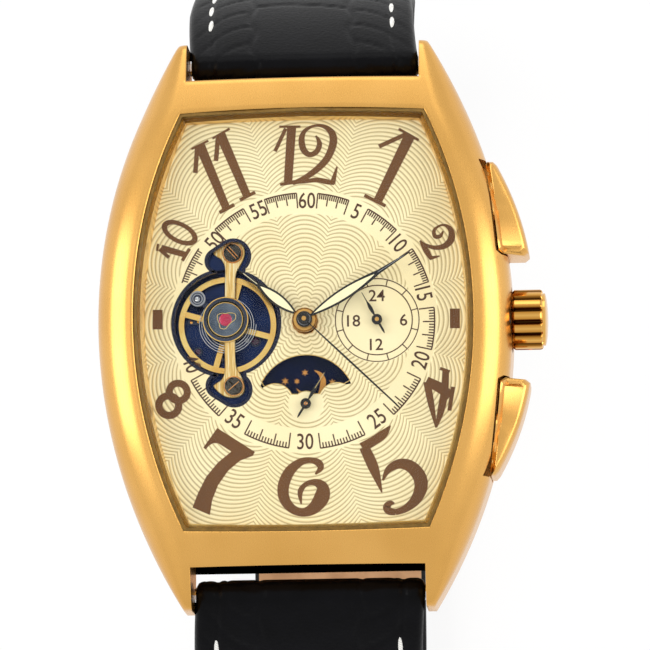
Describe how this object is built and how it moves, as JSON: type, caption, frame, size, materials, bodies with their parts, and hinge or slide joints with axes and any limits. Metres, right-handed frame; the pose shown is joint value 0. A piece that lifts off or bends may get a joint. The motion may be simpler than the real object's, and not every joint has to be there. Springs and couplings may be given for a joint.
{
  "type": "tonneau wristwatch",
  "caption": "Barrel shaped gold mechanical watch with a domed crystal, open heart dial, moon window, fluted crown, two pushers and a buckled leather strap.",
  "frame": {"origin": "centre of the case back's outer face, under the axis of the central hands", "axes": "+Z out of the dial, +Y towards 12 o'clock, +X towards the crown"},
  "size_m": [0.0429, 0.0825, 0.0637],
  "materials": {
    "gold": "satin polished gold plating",
    "gold_small": "brushed gold plating",
    "crystal": "clear, domed, polished",
    "seal": "black, moulded",
    "flange": "bright polished gold plating",
    "dial": "champagne cream, engine turned",
    "hand_black": "black gloss",
    "hand_leaf": "cream leaf with black outline",
    "moon": "navy with gold moon and stars",
    "plate": "dark blue plated, satin",
    "holder": "grey, moulded",
    "steel": "brushed",
    "screw": "dark polished",
    "brass": "brushed",
    "ruby": "clear red, polished",
    "leather": "black, crocodile grained, white stitching, tan lining"
  },
  "bodies": {
    "case": {"case_body": "gold", "crystal": "crystal", "crystal_gasket": "seal", "inner_flange": "flange", "dial": "dial", "main_plate": "plate", "movement_holder": "holder", "train_bridge": "steel", "hairspring": "steel", "hairspring_stud": "steel", "balance_bridge": "gold_small", "bridge_screws": "screw", "regulator": "screw", "shock_setting": "gold_small", "balance_jewel": "ruby", "rotor_bearing": "steel", "case_back": "gold", "back_window": "crystal", "case_back_screws": "steel", "crown_tube": "steel", "spring_bars": "steel", "strap_twelve": "leather", "strap_six": "leather", "buckle_bar": "steel", "fixed_keeper": "leather"},
    "minutes": {"minute_hand": "hand_leaf", "cannon_pinion": "steel"},
    "hours": {"hour_hand": "hand_leaf", "hour_wheel": "brass"},
    "idler": {"day_idler": "brass"},
    "day": {"day_hand": "hand_black", "day_wheel": "brass"},
    "moon": {"moon_disc": "moon"},
    "seconds": {"second_hand": "hand_black", "fourth_wheel": "brass"},
    "third": {"third_wheel": "brass"},
    "centre": {"centre_wheel": "brass"},
    "intermediate": {"intermediate_wheel": "brass"},
    "barrel": {"mainspring_barrel": "brass"},
    "escape": {"escape_wheel": "steel"},
    "small_seconds": {"small_hand": "hand_black", "small_arbor": "steel"},
    "fork": {"pallet_fork": "steel"},
    "balance": {"balance_wheel": "brass"},
    "rotor": {"rotor": "steel"},
    "winding": {"winding_pinion": "steel"},
    "crown": {"crown": "gold", "crown_gasket": "seal", "winding_stem": "steel"},
    "upper_pusher": {"pusher_upper": "gold"},
    "lower_pusher": {"pusher_lower": "gold"},
    "buckle": {"buckle_frame": "gold"},
    "tongue": {"buckle_tongue": "gold"},
    "keeper": {"loose_keeper": "leather"}
  },
  "joints": [
    {"name": "minute_turn", "type": "hinge", "parent": "case", "child": "minutes", "pos_m": [0, 0, 0.0093], "axis": [0, 0, -1], "continuous": true},
    {"name": "hour_turn", "type": "hinge", "parent": "case", "child": "hours", "pos_m": [0, 0, 0.0088], "axis": [0, 0, -1], "continuous": true},
    {"name": "idler_turn", "type": "hinge", "parent": "case", "child": "idler", "pos_m": [0.00265, 0, 0.00685], "axis": [0, 0, -1], "continuous": true},
    {"name": "day_turn", "type": "hinge", "parent": "case", "child": "day", "pos_m": [0.00687, 0, 0.0082], "axis": [0, 0, -1], "continuous": true},
    {"name": "moon_turn", "type": "hinge", "parent": "case", "child": "moon", "pos_m": [0, -0.00795, 0.0071], "axis": [0, 0, -1], "continuous": true},
    {"name": "second_turn", "type": "hinge", "parent": "case", "child": "seconds", "pos_m": [0, 0, 0.0097], "axis": [0, 0, -1], "continuous": true},
    {"name": "third_turn", "type": "hinge", "parent": "case", "child": "third", "pos_m": [0.00245, -0.00206, 0.0036], "axis": [0, 0, -1], "continuous": true},
    {"name": "centre_turn", "type": "hinge", "parent": "case", "child": "centre", "pos_m": [0, 0, 0.00405], "axis": [0, 0, -1], "continuous": true},
    {"name": "intermediate_turn", "type": "hinge", "parent": "case", "child": "intermediate", "pos_m": [-0.00061, 0.00345, 0.0045], "axis": [0, 0, -1], "continuous": true},
    {"name": "barrel_turn", "type": "hinge", "parent": "case", "child": "barrel", "pos_m": [0.00067, 0.00822, 0.0036], "axis": [0, 0, -1], "continuous": true},
    {"name": "escape_turn", "type": "hinge", "parent": "case", "child": "escape", "pos_m": [-0.00311, -0.00158, 0.0044], "axis": [0, 0, -1], "continuous": true},
    {"name": "small_second_turn", "type": "hinge", "parent": "case", "child": "small_seconds", "pos_m": [0, -0.00795, 0.0082], "axis": [0, 0, -1], "continuous": true},
    {"name": "fork_swing", "type": "hinge", "parent": "case", "child": "fork", "pos_m": [-0.00573, -0.00135, 0.0045], "axis": [0, 0, 1], "range_deg": [-5, 5]},
    {"name": "balance_swing", "type": "hinge", "parent": "case", "child": "balance", "pos_m": [-0.00753, 0, 0.006], "axis": [0, 0, 1], "range_deg": [-270, 270], "stiffness_Nm_per_rad": 0.0000008},
    {"name": "rotor_turn", "type": "hinge", "parent": "case", "child": "rotor", "pos_m": [0, 0, 0.002], "axis": [0, 0, 1], "continuous": true},
    {"name": "crown_turn", "type": "hinge", "parent": "case", "child": "winding", "pos_m": [0.0147, 0, 0.006], "axis": [1, 0, 0], "continuous": true},
    {"name": "crown_pull", "type": "slide", "parent": "winding", "child": "crown", "axis": [1, 0, 0], "range_m": [0, 0.001]},
    {"name": "upper_push", "type": "slide", "parent": "case", "child": "upper_pusher", "axis": [-1, 0, 0], "range_m": [0, 0.0006], "stiffness_N_per_m": 1500, "springref_m": -0.0004},
    {"name": "lower_push", "type": "slide", "parent": "case", "child": "lower_pusher", "axis": [-1, 0, 0], "range_m": [0, 0.0006], "stiffness_N_per_m": 1500, "springref_m": -0.0004},
    {"name": "buckle_swing", "type": "hinge", "parent": "case", "child": "buckle", "pos_m": [0, 0.003, -0.04568], "axis": [1, 0, 0], "range_deg": [0, 4]},
    {"name": "tongue_swing", "type": "hinge", "parent": "buckle", "child": "tongue", "pos_m": [0, 0.003, -0.04568], "axis": [1, 0, 0], "range_deg": [0, 3]},
    {"name": "keeper_slide", "type": "slide", "parent": "case", "child": "keeper", "axis": [0, 1, 0], "range_m": [-0.0025, 0.002]}
  ],
  "couplings": [
    {"joint": "hour_turn", "follows": "minute_turn", "ratio": 0.083333},
    {"joint": "idler_turn", "follows": "minute_turn", "ratio": -0.12121},
    {"joint": "day_turn", "follows": "minute_turn", "ratio": 0.041667},
    {"joint": "moon_turn", "follows": "minute_turn", "ratio": 0.041667},
    {"joint": "third_turn", "follows": "second_turn", "ratio": -0.13333},
    {"joint": "centre_turn", "follows": "second_turn", "ratio": 0.016667},
    {"joint": "intermediate_turn", "follows": "second_turn", "ratio": -0.0046296},
    {"joint": "barrel_turn", "follows": "second_turn", "ratio": 0.00084175},
    {"joint": "escape_turn", "follows": "second_turn", "ratio": -7},
    {"joint": "small_second_turn", "follows": "second_turn", "ratio": 1}
  ]
}
